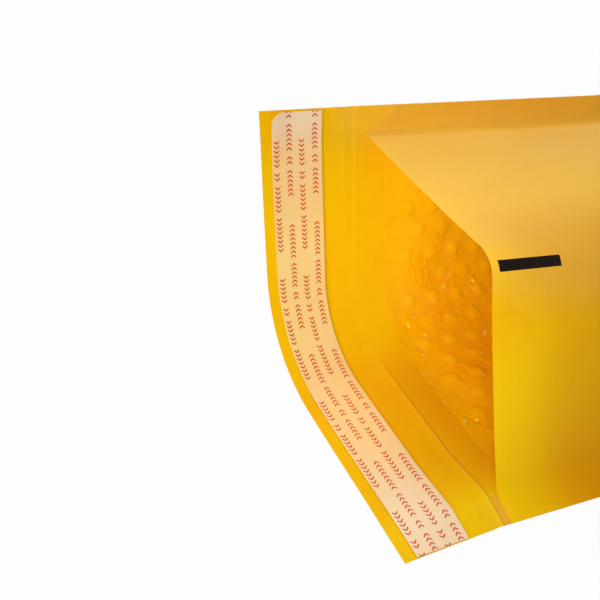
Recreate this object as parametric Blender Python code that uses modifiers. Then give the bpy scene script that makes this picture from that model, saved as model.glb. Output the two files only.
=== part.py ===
import math

import bmesh
import bpy
import numpy as np

# The pack's flat size: width across the seams, depth from the flap's fold to the closed end, flap beyond the fold
PACK_WIDTH = 0.184
BODY_LENGTH = 0.305
FLAP_LENGTH = 0.038
SEAM_WIDTH = 0.0105
PAPER_WALL = 0.0004

# The back panel lies flat from its lower seam to a rounded bend, and stands up beyond it
BACK_BEND = 0.088
BEND_SLANT = 0.067
OPEN_ANGLE = math.radians(70.0)
BACK_BEND_ARC = 0.040
FLAP_BEND_ARC = 0.057
UPPER_SEAM_TURN = math.radians(9.0)
LOWER_SEAM_LIFT = 0.003
LIFT_RUN = 0.025

# The front panel has one tight bend, which widens away from the mouth
FRONT_BEND = 0.092
FRONT_BEND_ARC = 0.012
FRONT_BEND_ARC_DEEP = 0.040
MOUTH_SETBACK = 0.0038
MOUTH_BOW = 0.0021
CORNER_TUCK = 0.0100

# The mouth stands open over this length, and beyond it the pack closes toward its flat end
OPEN_LENGTH = 0.115
CLOSING_EASE = 1.5
PADDED_HEIGHT = 0.0066
SHOULDER_WIDTH = 0.012
END_ROUND = 0.006
END_SEAM = 0.003

# The bubble film that lines both panels
LINING_START = 0.0125
LINING_GAP = 0.0003
LINING_WALL = 0.0019
LINING_MARGIN = 0.004
CAVITY_MARGIN = 0.010
CAVITY_END_GAP = 0.012
BUBBLE_PITCH = 0.011
BUBBLE_RADIUS = 0.0050
BUBBLE_HEIGHT = 0.0013
BUBBLED_LENGTH = 0.095

# The glue strip on the flap and the release liner over it, both measured from the flap's free edge
GLUE_START = 0.0055
GLUE_WIDTH = 0.0160
GLUE_WALL = 0.00025
GLUE_END_MARGIN = 0.003
LINER_START = 0.0036
LINER_WIDTH = 0.0197
LINER_WALL = 0.0002
LINER_END_MARGIN = 0.0006
STRIP_GAP = 0.00015

# How finely the sheets are drawn
BACK_COLUMNS = 28
FRONT_COLUMNS = 14
BEND_COLUMNS = 6
BODY_ROWS = 15
FLAP_ROWS = 4
LEAST_TURN = 0.0005

COLLECTION_NAME = "BubbleMailer"
LOWER_VALLEY = SEAM_WIDTH
UPPER_VALLEY = PACK_WIDTH - SEAM_WIDTH
PANEL_WIDTH = PACK_WIDTH - 2.0 * SEAM_WIDTH


def smooth(t):
    """A soft step from 0 to 1."""
    t = np.clip(t, 0.0, 1.0)
    return t * t * (3.0 - 2.0 * t)


def opened(x):
    """1 where the mouth stands open, 0 where the pack lies flat."""
    share = min(max((x - OPEN_LENGTH) / (BODY_LENGTH - OPEN_LENGTH), 0.0), 1.0)
    return 1.0 - share ** CLOSING_EASE


def flap_share(x):
    """0 at the flap's fold and inward of it, 1 at the flap's free edge."""
    return min(max(-x / FLAP_LENGTH, 0.0), 1.0)


def bent_line(q, bend_at, arc, turn):
    """A straight line that turns left once: its two coordinates and its heading at q."""
    start = bend_at - arc / 2.0
    heading = turn * min(max(q - start, 0.0), arc) / arc
    radius = arc / turn
    beyond = max(q - start - arc, 0.0)
    u = min(q, start) + radius * math.sin(heading) + beyond * math.cos(turn)
    v = radius * (1.0 - math.cos(heading)) + beyond * math.sin(turn)
    return np.array([u, v]), heading


def left_of(heading):
    """The unit normal on the left of a heading."""
    return np.array([-math.sin(heading), math.cos(heading)])


def lower_lift(x, q):
    """How far the lower seam's inner line is raised off the table."""
    if q < SEAM_WIDTH:
        share = q / SEAM_WIDTH
    else:
        share = 1.0 - smooth((q - SEAM_WIDTH) / LIFT_RUN)
    return LOWER_SEAM_LIFT * share * opened(x) * (1.0 - flap_share(x))


def back_line(x, q):
    """The back panel's outer face, q from its lower edge, and its normal into the pack."""
    turn = max(OPEN_ANGLE * opened(x), LEAST_TURN)
    bend_at = PACK_WIDTH - BACK_BEND + BEND_SLANT * min(max(x, 0.0), OPEN_LENGTH)
    arc = BACK_BEND_ARC + (FLAP_BEND_ARC - BACK_BEND_ARC) * flap_share(x)
    point, heading = bent_line(min(q, UPPER_VALLEY), bend_at, arc, turn)
    if q > UPPER_VALLEY:
        heading += UPPER_SEAM_TURN * opened(x) * (1.0 - flap_share(x))
        point = point + (q - UPPER_VALLEY) * np.array([math.cos(heading), math.sin(heading)])
    return point + np.array([-bend_at, lower_lift(x, q)]), left_of(heading)


def front_turn(chord, bend_at, arc):
    """The turn that brings the front panel's ends as near as the back panel's valleys are."""
    least = LEAST_TURN
    most = 3.0
    for _ in range(40):
        turn = (least + most) / 2.0
        end, _ = bent_line(PANEL_WIDTH, bend_at, arc, turn)
        if np.hypot(end[0], end[1]) > chord:
            least = turn
        else:
            most = turn
    return (least + most) / 2.0


def end_fade(x):
    """The rounding of the pack's height at its closed end."""
    t = min(max((x - BODY_LENGTH + END_ROUND) / END_ROUND, 0.0), 1.0)
    return math.sqrt(1.0 - t * t)


def front_line(x, q):
    """The front panel's inner face, q from the lower edge, and its normal out of the pack."""
    low, low_normal = back_line(x, LOWER_VALLEY)
    high, high_normal = back_line(x, UPPER_VALLEY)
    low = low + PAPER_WALL * low_normal
    high = high + PAPER_WALL * high_normal
    chord = high - low
    bend_at = PACK_WIDTH - FRONT_BEND - SEAM_WIDTH
    arc = FRONT_BEND_ARC + (FRONT_BEND_ARC_DEEP - FRONT_BEND_ARC) * smooth(x / OPEN_LENGTH)
    turn = front_turn(np.hypot(chord[0], chord[1]), bend_at, arc)
    end, _ = bent_line(PANEL_WIDTH, bend_at, arc, turn)
    lean = math.atan2(chord[1], chord[0]) + math.atan2(end[1], end[0])
    point, heading = bent_line(q - SEAM_WIDTH, bend_at, arc, turn)
    point = np.array([point[0], -point[1]])
    point = np.array([math.cos(lean) * point[0] - math.sin(lean) * point[1],
                      math.sin(lean) * point[0] + math.cos(lean) * point[1]])
    normal = left_of(lean - heading)
    from_valley = min(q - LOWER_VALLEY, UPPER_VALLEY - q)
    padding = PADDED_HEIGHT * (1.0 - opened(x)) * end_fade(x) * smooth(from_valley / SHOULDER_WIDTH)
    return low + point + padding * normal, normal


def back_point(x, q, depth):
    """A point of the back panel, depth inward of its outer face."""
    point, normal = back_line(x, q)
    y, z = point + depth * normal
    return x, y, z


def front_point(x, q, height):
    """A point of the front panel, height outward of its inner face, with the seams' front layers."""
    if q < LOWER_VALLEY or q > UPPER_VALLEY:
        return back_point(x, q, PAPER_WALL + height)
    point, normal = front_line(x, q)
    if q in (LOWER_VALLEY, UPPER_VALLEY):
        _, seam_normal = back_line(x, q)
        normal = (normal + seam_normal) / (1.0 + float(normal @ seam_normal))
    y, z = point + height * normal
    return x, y, z


def lining_point(x, q, on_front, gap):
    """A point inside the pack, gap away from the inner face of one panel."""
    back, back_normal = back_line(x, q)
    back = back + PAPER_WALL * back_normal
    front, front_normal = front_line(x, q)
    across = (front - back) / np.hypot(*(front - back))
    if on_front:
        y, z = front - across * gap / float(across @ front_normal)
    else:
        y, z = back + across * gap / float(across @ back_normal)
    return x, y, z


def mouth_x(q):
    """Where the front panel's edge lies, with its upper corner tucked back."""
    share = min(max((q - LOWER_VALLEY) / PANEL_WIDTH, 0.0), 1.0)
    return MOUTH_SETBACK - MOUTH_BOW * math.sin(math.pi * share) + corner_x(q)


def corner_x(q):
    """How far the upper seam's front layer is tucked back."""
    return CORNER_TUCK * max(q - UPPER_VALLEY, 0.0) / SEAM_WIDTH


def flap_stations():
    """The flap's rows, which the strips on it share."""
    marks = [0.0, LINER_START, GLUE_START, GLUE_START + GLUE_WIDTH, LINER_START + LINER_WIDTH, FLAP_LENGTH]
    middle = GLUE_START + GLUE_WIDTH * np.linspace(0.0, 1.0, FLAP_ROWS)[1:-1]
    fold_side = (LINER_START + LINER_WIDTH + FLAP_LENGTH) / 2.0
    return [mark - FLAP_LENGTH for mark in sorted([*marks, *middle, fold_side])]


def body_stations():
    """The body's rows from the lining's edge to the closed end."""
    stations = list(np.linspace(LINING_START, BODY_LENGTH - END_SEAM, BODY_ROWS))
    return stations + [BODY_LENGTH]


def columns(count, bend_at, bend_arc):
    """Distances across the pack: both seams, even steps, and closer ones around a tight bend."""
    across = list(np.linspace(LOWER_VALLEY, UPPER_VALLEY, count + 1))
    if bend_arc > 0.0:
        reach = PANEL_WIDTH / count * 0.6
        near = [bend_at + bend_arc * (i / BEND_COLUMNS - 0.5) for i in range(BEND_COLUMNS + 1)]
        across = [q for q in across if q < near[0] - reach or q > near[-1] + reach] + near
    return [0.0] + sorted(across) + [PACK_WIDTH]


class Skin:
    """Points and faces of one closed sheet body."""

    def __init__(self):
        self.points = []
        self.faces = []

    def row(self, points):
        first = len(self.points)
        self.points.extend(points)
        return list(range(first, len(self.points)))

    def face(self, *corners):
        """One face, without the corners that its rows share."""
        corners = list(dict.fromkeys(corners))
        if len(corners) > 2:
            self.faces.append(corners)

    def strip(self, one, other):
        """Quads between two rows of as many points."""
        for i in range(len(one) - 1):
            self.face(one[i], one[i + 1], other[i + 1], other[i])

    def lace(self, one, one_at, other, other_at):
        """Triangles between two rows with unlike spacing."""
        i = 0
        j = 0
        while i < len(one) - 1 or j < len(other) - 1:
            step_one = j == len(other) - 1 or (i < len(one) - 1 and one_at[i + 1] <= other_at[j + 1])
            if step_one:
                self.face(one[i], one[i + 1], other[j])
                i += 1
            else:
                self.face(one[i], other[j + 1], other[j])
                j += 1

    def to_object(self, name, material, collection, origin):
        mesh = bpy.data.meshes.new(name)
        bm = bmesh.new()
        verts = [bm.verts.new(np.array(p) - origin) for p in self.points]
        for face in self.faces:
            bm.faces.new([verts[i] for i in face])
        bmesh.ops.recalc_face_normals(bm, faces=bm.faces)
        if bm.calc_volume(signed=True) < 0.0:
            bmesh.ops.reverse_faces(bm, faces=bm.faces)
        bm.to_mesh(mesh)
        bm.free()
        mesh.shade_smooth()
        mesh.set_sharp_from_angle(angle=math.radians(40.0))
        mesh.materials.append(material)
        obj = bpy.data.objects.new(name, mesh)
        collection.objects.link(obj)
        return obj


def envelope_skin():
    """The folded paper: back panel with its flap, front panel, both side seams and the closed end."""
    skin = Skin()
    back_at = columns(BACK_COLUMNS, 0.0, 0.0)
    front_at = columns(FRONT_COLUMNS, PACK_WIDTH - FRONT_BEND, FRONT_BEND_ARC)
    flap = flap_stations()
    body = body_stations()
    rows = [lambda q, x=x: x for x in flap]
    rows += [mouth_x]
    rows += [lambda q, x=x, k=0.5 ** (i + 1): x + k * corner_x(q) for i, x in enumerate(body[:2])]
    rows += [lambda q, x=x: x for x in body[2:]]
    mouth = len(flap)
    last = len(rows) - 1
    outer = [skin.row([back_point(at(q), q, 0.0) for q in back_at]) for at in rows]
    lid = {}
    for i in range(mouth, last + 1):
        lid[i] = skin.row([front_point(rows[i](q), q, PAPER_WALL) for q in front_at])
    inner = {}
    for i in range(mouth + 1):
        inner[i] = skin.row([back_point(rows[i](q), q, PAPER_WALL) for q in back_at])
    for i in range(mouth + 1, last):
        inner[i] = skin.row([back_point(rows[i](q), q, PAPER_WALL) for q in back_at[1:-1]])
        inner[i] = [None] + inner[i] + [None]
    ceiling = {}
    for i in range(mouth, last):
        between = skin.row([front_point(rows[i](q), q, 0.0) for q in front_at[2:-2]])
        ceiling[i] = [inner[i][1]] + between + [inner[i][-2]]
    for i in range(last):
        skin.strip(outer[i], outer[i + 1])
    for i in range(mouth):
        skin.strip(inner[i], inner[i + 1])
        skin.strip([outer[i][0], outer[i + 1][0]], [inner[i][0], inner[i + 1][0]])
        skin.strip([outer[i][-1], outer[i + 1][-1]], [inner[i][-1], inner[i + 1][-1]])
    skin.strip(outer[0], inner[0])
    for i in range(mouth, last):
        skin.strip(lid[i], lid[i + 1])
        for end in (0, -1):
            ply = inner[mouth][end] if i == mouth else lid[i][end]
            skin.face(outer[i][end], outer[i + 1][end], lid[i + 1][end], lid[i][end], ply)
    for i in range(mouth, last - 1):
        skin.strip(inner[i][1:-1], inner[i + 1][1:-1])
        skin.strip(ceiling[i], ceiling[i + 1])
    skin.strip([inner[mouth][0], *ceiling[mouth], inner[mouth][-1]], lid[mouth])
    skin.lace(outer[last], back_at, lid[last], front_at)
    skin.lace(inner[last - 1][1:-1], back_at[1:-1], ceiling[last - 1], front_at[1:-1])
    return skin


def bubble_rise(i, k):
    """How high the film stands at point k of lattice row i, counted in thirds of a bubble's pitch."""
    cell = BUBBLE_PITCH / 3.0
    best = 0.0
    for line in range(max(i - 4, 0), i + 4):
        if line % 3 != 2:
            continue
        offset = 2.0 if line % 2 == 0 else 3.5
        nearest = offset + 3.0 * round((k - offset) / 3.0)
        along = (i - line) * cell * math.sqrt(0.75)
        away = math.hypot((k - nearest) * cell, along)
        best = max(best, 1.0 - (away / BUBBLE_RADIUS) ** 2)
    return BUBBLE_HEIGHT * best


def lining_skin():
    """The film bag: smooth outside, bubbled inside as far as one sees, and plain beyond."""
    skin = Skin()
    low = LOWER_VALLEY + LINING_MARGIN
    high = UPPER_VALLEY - LINING_MARGIN
    stations = body_stations()[:-1]
    stations = [x for x in stations if x < BODY_LENGTH - END_ROUND - END_SEAM]
    sides = {}
    for on_front in (False, True):
        if on_front:
            across = columns(FRONT_COLUMNS, PACK_WIDTH - FRONT_BEND, FRONT_BEND_ARC)
        else:
            across = columns(BACK_COLUMNS, 0.0, 0.0)
        across = [low] + [q for q in across if low + 0.001 < q < high - 0.001] + [high]
        grid = [skin.row([lining_point(x, q, on_front, LINING_GAP) for q in across]) for x in stations]
        for i in range(len(grid) - 1):
            skin.strip(grid[i], grid[i + 1])
        sides[on_front] = (grid, across)
    cavity = {False: cavity_rows(skin, False), True: cavity_rows(skin, True)}
    close_sides(skin, sides[False][0], sides[True][0])
    close_sides(skin, [row for row, _ in cavity[False]], [row for row, _ in cavity[True]])
    skin.lace(sides[False][0][-1], sides[False][1], sides[True][0][-1], sides[True][1])
    skin.lace(*cavity[False][-1], *cavity[True][-1])
    for on_front in (False, True):
        skin.lace(sides[on_front][0][0], sides[on_front][1], *cavity[on_front][0])
    for end in (0, -1):
        outside = [sides[False][0][0][end], sides[True][0][0][end]]
        inside = [cavity[False][0][0][end], cavity[True][0][0][end]]
        skin.face(outside[0], inside[0], inside[1], outside[1])
    return skin


def close_sides(skin, back_rows, front_rows):
    """The narrow walls where the two films meet at the seams."""
    for end in (0, -1):
        skin.strip([row[end] for row in back_rows], [row[end] for row in front_rows])


def cavity_rows(skin, on_front):
    """Rows of the bag's inner face, from the mouth to the end of its hollow."""
    low = LOWER_VALLEY + CAVITY_MARGIN
    high = UPPER_VALLEY - CAVITY_MARGIN
    cells = round((high - low) / (BUBBLE_PITCH / 3.0))
    count = round(BUBBLED_LENGTH / (BUBBLE_PITCH / 3.0 * math.sqrt(0.75)))
    rows = []
    for i in range(count + 1):
        x = LINING_START + i * BUBBLE_PITCH / 3.0 * math.sqrt(0.75)
        if i % 2 == 0:
            steps = [float(k) for k in range(cells + 1)]
        else:
            steps = [0.0] + [k + 0.5 for k in range(cells)] + [float(cells)]
        across = [low + (high - low) * k / cells for k in steps]
        points = []
        for k, q in zip(steps, across):
            inside = 1.0 <= k <= cells - 1.0 and 0 < i < count
            rise = bubble_rise(i, k) if inside else 0.0
            points.append(lining_point(x, q, on_front, LINING_GAP + LINING_WALL + rise))
        rows.append((skin.row(points), across))
    plain_start = LINING_START + BUBBLED_LENGTH
    plain_end = BODY_LENGTH - CAVITY_END_GAP
    across = list(np.linspace(low, high, BACK_COLUMNS - 4))
    for x in np.linspace(plain_start, plain_end, BODY_ROWS - 4)[1:]:
        points = [lining_point(x, q, on_front, LINING_GAP + LINING_WALL) for q in across]
        rows.append((skin.row(points), across))
    for (one, one_at), (other, other_at) in zip(rows, rows[1:]):
        skin.lace(one, one_at, other, other_at)
    return rows


def flap_strip(name, start, width, end_margin, depth, wall, material, collection, origin):
    """A strip along the flap, laid depth above the paper's outer face and thickened away from it."""
    across = [q for q in columns(BACK_COLUMNS, 0.0, 0.0) if end_margin + 0.001 < q < PACK_WIDTH - end_margin - 0.001]
    across = [end_margin] + across + [PACK_WIDTH - end_margin]
    mesh = bpy.data.meshes.new(name)
    bm = bmesh.new()
    near = start - FLAP_LENGTH
    stations = [near] + [x for x in flap_stations() if near < x < near + width] + [near + width]
    rows = []
    for x in stations:
        rows.append([bm.verts.new(np.array(back_point(x, q, depth)) - origin) for q in across])
    for one, other in zip(rows, rows[1:]):
        for k in range(len(across) - 1):
            bm.faces.new([one[k], other[k], other[k + 1], one[k + 1]])
    bm.to_mesh(mesh)
    bm.free()
    mesh.shade_smooth()
    mesh.materials.append(material)
    obj = bpy.data.objects.new(name, mesh)
    collection.objects.link(obj)
    thicken = obj.modifiers.new("Thickness", "SOLIDIFY")
    thicken.thickness = wall
    thicken.offset = 1.0
    return obj


def make_material(name, colour, roughness, metallic=0.0):
    material = bpy.data.materials.new(name)
    material.use_nodes = True
    shader = material.node_tree.nodes["Principled BSDF"]
    shader.inputs["Base Color"].default_value = (*colour, 1.0)
    shader.inputs["Roughness"].default_value = roughness
    shader.inputs["Metallic"].default_value = metallic
    material.diffuse_color = (*colour, 1.0)
    return material


def main():
    for obj in list(bpy.data.objects):
        bpy.data.objects.remove(obj, do_unlink=True)
    collection = bpy.data.collections.new(COLLECTION_NAME)
    bpy.context.scene.collection.children.link(collection)
    kraft = make_material("golden_kraft", (0.86, 0.47, 0.03), 0.62)
    film = make_material("bubble_film", (0.78, 0.40, 0.04), 0.28)
    glue = make_material("hot_melt_glue", (0.80, 0.62, 0.30), 0.35)
    release = make_material("release_paper", (0.92, 0.66, 0.34), 0.45)

    envelope = envelope_skin()
    spans = np.array(envelope.points)
    middle = (spans.min(axis=0) + spans.max(axis=0)) / 2.0
    origin = np.array([middle[0], middle[1], spans[:, 2].min()])
    envelope.to_object("kraft_envelope", kraft, collection, origin)
    lining_skin().to_object("bubble_lining", film, collection, origin)
    glue_depth = PAPER_WALL + STRIP_GAP
    liner_depth = glue_depth + GLUE_WALL + STRIP_GAP
    flap_strip("adhesive_strip", GLUE_START, GLUE_WIDTH, GLUE_END_MARGIN, glue_depth, GLUE_WALL,
               glue, collection, origin)
    flap_strip("release_liner", LINER_START, LINER_WIDTH, LINER_END_MARGIN, liner_depth, LINER_WALL,
               release, collection, origin)


main()
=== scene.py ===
import math

import bpy
import numpy as np
from mathutils import Matrix, Vector


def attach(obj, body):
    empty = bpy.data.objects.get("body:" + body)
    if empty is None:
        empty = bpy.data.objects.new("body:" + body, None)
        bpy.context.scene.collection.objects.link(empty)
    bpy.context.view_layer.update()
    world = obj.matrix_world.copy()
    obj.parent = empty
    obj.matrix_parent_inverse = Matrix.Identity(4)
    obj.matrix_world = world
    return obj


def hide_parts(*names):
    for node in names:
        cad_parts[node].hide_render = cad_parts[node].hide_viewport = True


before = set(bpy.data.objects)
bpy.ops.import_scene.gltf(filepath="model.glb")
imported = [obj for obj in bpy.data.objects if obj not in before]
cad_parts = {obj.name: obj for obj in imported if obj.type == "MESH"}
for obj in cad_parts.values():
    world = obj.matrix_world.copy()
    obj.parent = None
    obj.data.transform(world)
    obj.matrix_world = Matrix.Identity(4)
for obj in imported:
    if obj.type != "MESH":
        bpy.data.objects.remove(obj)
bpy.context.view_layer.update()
print("frame loaded")

# camera
# looks down into the open mouth from the flap's side
view = {
    "location": (-0.29605, -0.19664, 0.23116),
    "right": (0.88986, -0.43879, 0.12499),
    "up": (0.19766, 0.61767, 0.76119),
    "back": (-0.4112, -0.65265, 0.63637),
    "lens": 52.5,
}
cameraData = bpy.data.cameras.new("camera")
cameraData.lens = view["lens"]
cameraData.sensor_width = 36.0
cameraData.clip_start = 0.01
camera = bpy.data.objects.new("camera", cameraData)
turn = Matrix((view["right"], view["up"], view["back"])).transposed()
camera.matrix_world = Matrix.Translation(Vector(view["location"])) @ turn.normalized().to_4x4()
bpy.context.scene.collection.objects.link(camera)
bpy.context.scene.camera = camera
bpy.context.scene.view_settings.view_transform = "Standard"
print("camera set")


# shader maths
class Value:
    # one output socket, with the operators that the materials use
    def __init__(self, shading, socket):
        self.shading = shading
        self.socket = socket

    def maths(self, operation, *others):
        inputs = {i: other for i, other in enumerate((self, *others))}
        return self.shading.node("ShaderNodeMath", {"operation": operation}, inputs)

    def __add__(self, other):
        return self.maths("ADD", other)

    def __radd__(self, other):
        return self.maths("ADD", other)

    def __sub__(self, other):
        return self.maths("SUBTRACT", other)

    def __rsub__(self, other):
        return self.shading.node("ShaderNodeMath", {"operation": "SUBTRACT"}, {0: other, 1: self})

    def __mul__(self, other):
        return self.maths("MULTIPLY", other)

    def __rmul__(self, other):
        return self.maths("MULTIPLY", other)

    def __truediv__(self, other):
        return self.maths("DIVIDE", other)

    def above(self, level):
        return self.maths("GREATER_THAN", level)

    def below(self, level):
        return self.maths("LESS_THAN", level)


class Shading:
    # a material's node tree, its nodes made by one method
    def __init__(self, name):
        self.material = bpy.data.materials.new(name)
        self.material.use_nodes = True
        self.tree = self.material.node_tree
        self.shader = self.tree.nodes["Principled BSDF"]

    def node(self, kind, settings=None, inputs=None, output=0):
        made = self.tree.nodes.new(kind)
        for key, setting in (settings or {}).items():
            setattr(made, key, setting)
        for key, given in (inputs or {}).items():
            self.feed(made.inputs[key], given)
        return Value(self, made.outputs[output])

    def feed(self, socket, given):
        if isinstance(given, Value):
            self.tree.links.new(given.socket, socket)
        elif socket.type == "RGBA" and len(given) == 3:
            socket.default_value = (*given, 1.0)
        else:
            socket.default_value = given

    def set(self, **inputs):
        # named sockets of the Principled shader, with spaces left out of their names
        for key, given in inputs.items():
            label = key[0].upper() + key[1:]
            self.feed(next(s for s in self.shader.inputs if s.name.replace(" ", "") == label), given)

    def place(self):
        return self.node("ShaderNodeTexCoord", output="Object")

    def part(self, attribute):
        return self.node("ShaderNodeAttribute", {"attribute_name": attribute}, output="Fac")

    def noise(self, where, scale, detail=3.0, roughness=0.55, stretch=None):
        if stretch:
            where = self.node("ShaderNodeMapping", None, {"Vector": where, "Scale": stretch})
        inputs = {"Vector": where, "Scale": scale, "Detail": detail, "Roughness": roughness}
        return self.node("ShaderNodeTexNoise", None, inputs, "Fac")

    def mix(self, share, one, other):
        settings = {"data_type": "RGBA", "clamp_factor": True}
        return self.node("ShaderNodeMix", settings, {0: share, 6: one, 7: other}, 2)

    def spread(self, value, start, end, toStart=0.0, toEnd=1.0):
        # a soft step, which may also run downward, from start to end
        inputs = {"Value": value, "From Min": start, "From Max": end, "To Min": toStart, "To Max": toEnd}
        return self.node("ShaderNodeMapRange", {"interpolation_type": "SMOOTHSTEP"}, inputs)

    def fields(self, given, places):
        # the sum of soft-edged fields, each 0 at the first place of a pair and whole at the second
        total = None
        for field in given:
            share = places[field["layer"]] * field["share"]
            for axis in ("across", "along"):
                for zeroAt, wholeAt in field.get(axis, ()):
                    share = share * self.spread(places[axis], zeroAt, wholeAt)
            total = share if total is None else total + share
        return total

    def sheetPlaces(self):
        # where a point lies on the flat sheet
        flat = self.node("ShaderNodeUVMap", {"uv_map": "sheetPlace"})
        along = self.node("ShaderNodeSeparateXYZ", None, {"Vector": flat})
        return along, Value(self, along.socket.node.outputs["Y"])

    def bump(self, height, distance):
        return self.node("ShaderNodeBump", None, {"Distance": distance, "Height": height}, "Normal")


# the folded sheet's form
# x runs from the flap's fold to the closed end, q across the pack from its lower edge
pack = {
    "width": 0.184, "length": 0.305, "flap": 0.038, "seam": 0.0105, "wall": 0.0004,
    "backBend": 0.088, "bendSlant": 0.067, "openAngle": math.radians(70.0),
    "backArc": 0.040, "flapArc": 0.057, "upperSeamTurn": math.radians(9.0),
    "lowerLift": 0.003, "liftRun": 0.025,
    "frontBend": 0.092, "frontArc": 0.012, "frontArcDeep": 0.040,
    "mouthSetback": 0.0038, "mouthBow": 0.0021, "cornerTuck": 0.0122,
    "openLength": 0.115, "closingEase": 1.5,
    "padded": 0.0066, "shoulder": 0.012, "endRound": 0.006,
    "middle": -0.0117,  # of the outer box, from the bend
}
leastTurn = 0.0005
lowerValley = pack["seam"]
upperValley = pack["width"] - pack["seam"]
valleyCurves = {lowerValley: 0.0032, upperValley: 0.0016}
valleyGrowth = {lowerValley: 0.0, upperValley: 0.0050}
growthRun = 0.055
panelWidth = upperValley - lowerValley


def smooth(t):
    t = np.clip(t, 0.0, 1.0)
    return t * t * (3.0 - 2.0 * t)


def hump(t, width):
    return np.exp(-(t / width) ** 2)


def opened(x):
    share = np.clip((x - pack["openLength"]) / (pack["length"] - pack["openLength"]), 0.0, 1.0)
    return 1.0 - share ** pack["closingEase"]


def flapShare(x):
    return np.clip(-x / pack["flap"], 0.0, 1.0)


def bentLine(q, bendAt, arc, turn):
    # a straight line that turns left once
    start = bendAt - arc / 2.0
    heading = turn * np.clip(q - start, 0.0, arc) / arc
    radius = arc / turn
    beyond = np.maximum(q - start - arc, 0.0)
    u = np.minimum(q, start) + radius * np.sin(heading) + beyond * np.cos(turn)
    v = radius * (1.0 - np.cos(heading)) + beyond * np.sin(turn)
    return u, v, heading


def lowerRise(x, q):
    inSeam = q / pack["seam"]
    inPanel = 1.0 - smooth((q - pack["seam"]) / pack["liftRun"])
    share = np.where(q < pack["seam"], inSeam, inPanel)
    return pack["lowerLift"] * share * opened(x) * (1.0 - flapShare(x))


# small unevenness of the paper, inward, in metres
relief = {
    "ridge": 0.00034, "ridgeOnFlap": 0.0022, "ridgeInside": 0.0005, "trough": 0.00010, "troughAt": 0.0014,
    "troughWidth": 0.0013, "ripple": 0.00007, "rippleLength": 0.0011, "wave": 0.00030, "pinch": 0.00020,
    "bulge": 0.0012,
}


def backRelief(x, q):
    top = smooth((q - 0.110) / 0.05)
    # the fold's crest rises gently on the flap's side and drops steeply inside
    strength = 0.10 + 0.90 * (1.0 - smooth((q - 0.040) / 0.070))
    crest = relief["ridge"] * hump(x, np.where(x < 0.0, relief["ridgeOnFlap"], relief["ridgeInside"]))
    fold = strength * (crest - relief["trough"] * hump(x - relief["troughAt"], relief["troughWidth"]))
    ripples = np.sin(x / relief["rippleLength"]) * smooth(-x / 0.002) * smooth((x + 0.015) / 0.008)
    waves = np.sin(q * 61.0 + x * 35.0) * np.sin(x * 92.0 + 0.6) + 0.6 * np.sin(q * 131.0 - x * 57.0 + 2.0)
    onFlap = smooth(-x / 0.012)
    inBody = smooth((x - 0.004) / 0.02) * smooth(np.minimum(q - lowerValley, upperValley - q) / 0.010)
    return fold + relief["ripple"] * ripples * top + relief["wave"] * waves * (0.5 * onFlap + 0.35 * inBody)


def frontRelief(x, q):
    fromSeam = np.minimum(q - lowerValley, upperValley - q)
    waves = np.sin(q * 74.0 - x * 31.0 + 1.0) * np.sin(x * 68.0 + 2.2) + 0.5 * np.sin(q * 149.0 + x * 83.0)
    waves = 0.5 * waves * smooth(fromSeam / 0.012)
    pinches = np.maximum(np.sin(x * 310.0 + 2.0 * np.sin(x * 41.0)), 0.0) ** 2 * hump(fromSeam - 0.003, 0.004)
    pinches = pinches * smooth((x - 0.02) / 0.03)
    # behind the mouth the lower half bulges inward a little
    bulge = smooth((q - lowerValley) / 0.030) * smooth((pack["width"] - pack["frontBend"] - q) / 0.030)
    bulge = bulge * smooth((x - 0.001) / 0.022) * (1.0 - smooth((x - 0.020) / 0.065))
    return relief["wave"] * waves + relief["bulge"] * bulge - relief["pinch"] * pinches


def backLine(x, q):
    # the back panel's outer face and its normal into the pack
    turn = np.maximum(pack["openAngle"] * opened(x), leastTurn)
    bendAt = pack["width"] - pack["backBend"] + pack["bendSlant"] * np.clip(x, 0.0, pack["openLength"])
    arc = pack["backArc"] + (pack["flapArc"] - pack["backArc"]) * flapShare(x)
    u, v, heading = bentLine(np.minimum(q, upperValley), bendAt, arc, turn)
    inSeam = q > upperValley
    heading = np.where(inSeam, heading + pack["upperSeamTurn"] * opened(x) * (1.0 - flapShare(x)), heading)
    past = np.where(inSeam, q - upperValley, 0.0)
    y = u + past * np.cos(heading) - bendAt
    z = v + past * np.sin(heading) + lowerRise(x, q)
    return y, z, -np.sin(heading), np.cos(heading)


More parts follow.
